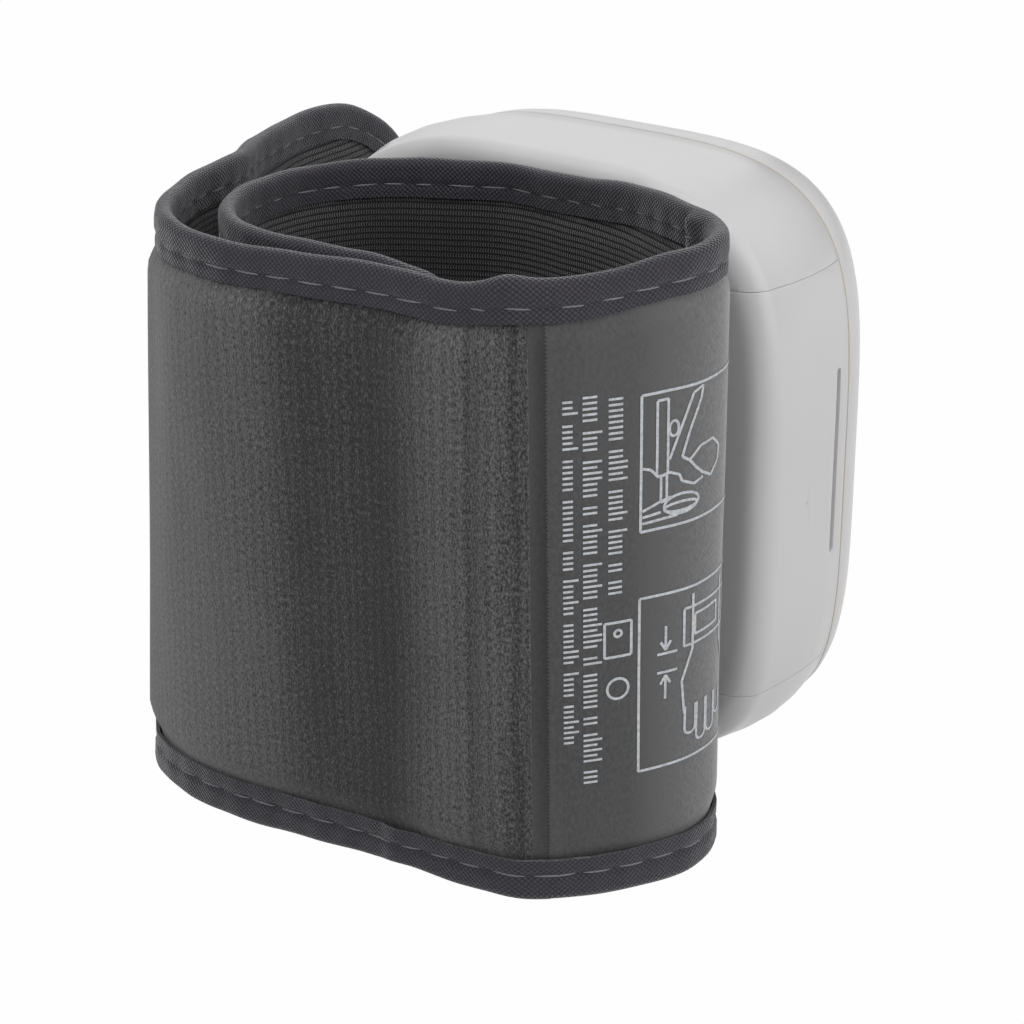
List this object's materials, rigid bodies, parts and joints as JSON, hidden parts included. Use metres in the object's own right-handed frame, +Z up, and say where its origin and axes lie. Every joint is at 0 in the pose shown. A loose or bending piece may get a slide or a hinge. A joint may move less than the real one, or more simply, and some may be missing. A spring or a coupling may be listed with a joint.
{
  "type": "wrist_blood_pressure_monitor",
  "caption": "Wrist blood pressure monitor: a pale rounded display case on a grey fabric cuff that stands curled on its hem",
  "frame": {"origin": "under the middle of the whole part's box, on the surface it stands on", "axes": "+Z up along the wrist, -Y the way the display faces, +Y towards the cuff, -X the battery cover's side"},
  "size_m": [0.0794, 0.076, 0.0716],
  "materials": {
    "case_white": "satin moulded shell",
    "window_clear": "clear window",
    "lcd_glass": "grey-green display",
    "connector_rubber": "banded conductive rubber",
    "button_grey": "satin keys",
    "board_green": "solder mask",
    "component_black": "moulded components",
    "machined_steel": "bright plated steel",
    "cradle_rubber": "soft damper",
    "silicone_white": "silicone hose",
    "fitting_white": "moulded fittings",
    "cell_wrap": "plain cell wrap",
    "cuff_printed": "smooth coated cloth",
    "cuff_pile": "brushed loop pile",
    "cuff_tape": "woven binding tape",
    "cuff_knit": "ribbed knit",
    "hook_tape": "hook tape",
    "bladder_film": "welded film"
  },
  "bodies": {
    "housing": {"front_case": "case_white", "rear_case": "case_white", "lcd_window": "window_clear", "lcd_panel": "lcd_glass", "lcd_connector_1": "connector_rubber", "lcd_connector_2": "connector_rubber", "main_board": "board_green", "start_stop_switch": "component_black", "memory_switch": "component_black", "controller_chip": "component_black", "buzzer": "component_black", "pressure_sensor": "component_black", "pump_head": "component_black", "pump_motor": "machined_steel", "air_valve": "machined_steel", "case_screw_1": "machined_steel", "case_screw_2": "machined_steel", "case_screw_3": "machined_steel", "case_screw_4": "machined_steel", "battery_spring_1": "machined_steel", "battery_spring_2": "machined_steel", "battery_contact_1": "machined_steel", "battery_contact_2": "machined_steel", "pump_cradle": "cradle_rubber", "air_hose_pump": "silicone_white", "air_hose_valve": "silicone_white", "air_hose_sensor": "silicone_white", "air_hose_cuff": "silicone_white", "air_manifold": "fitting_white", "cuff_nipple": "fitting_white", "cuff_mount_plate": "fitting_white", "cuff_stiffener": "fitting_white", "battery_cell_1": "cell_wrap", "battery_cell_2": "cell_wrap", "cuff_outer_panel": "cuff_printed", "cuff_binding_top": "cuff_tape", "cuff_binding_bottom": "cuff_tape", "cuff_lining": "cuff_knit", "air_bladder": "bladder_film"},
    "battery_cover": {"battery_cover": "case_white"},
    "start_stop_button": {"start_stop_button": "button_grey"},
    "memory_button": {"memory_button": "button_grey"},
    "cuff_flap": {"flap_loop_panel": "cuff_pile", "flap_lining": "cuff_knit", "flap_binding_top": "cuff_tape", "flap_binding_bottom": "cuff_tape", "hook_patch": "hook_tape"}
  },
  "joints": [
    {"name": "battery_cover_slide", "type": "slide", "parent": "housing", "child": "battery_cover", "axis": [-1, 0, 0], "range_m": [0, 0.026]},
    {"name": "start_stop_press", "type": "slide", "parent": "housing", "child": "start_stop_button", "axis": [0, 1, 0], "range_m": [0, 0.0008], "stiffness_N_per_m": 500},
    {"name": "memory_press", "type": "slide", "parent": "housing", "child": "memory_button", "axis": [0, 1, 0], "range_m": [0, 0.0008], "stiffness_N_per_m": 500},
    {"name": "cuff_flap_hinge", "type": "hinge", "parent": "housing", "child": "cuff_flap", "pos_m": [-0.02537, 0.03365, 0.0355], "axis": [0, 0, 1], "range_deg": [0, 110]}
  ]
}
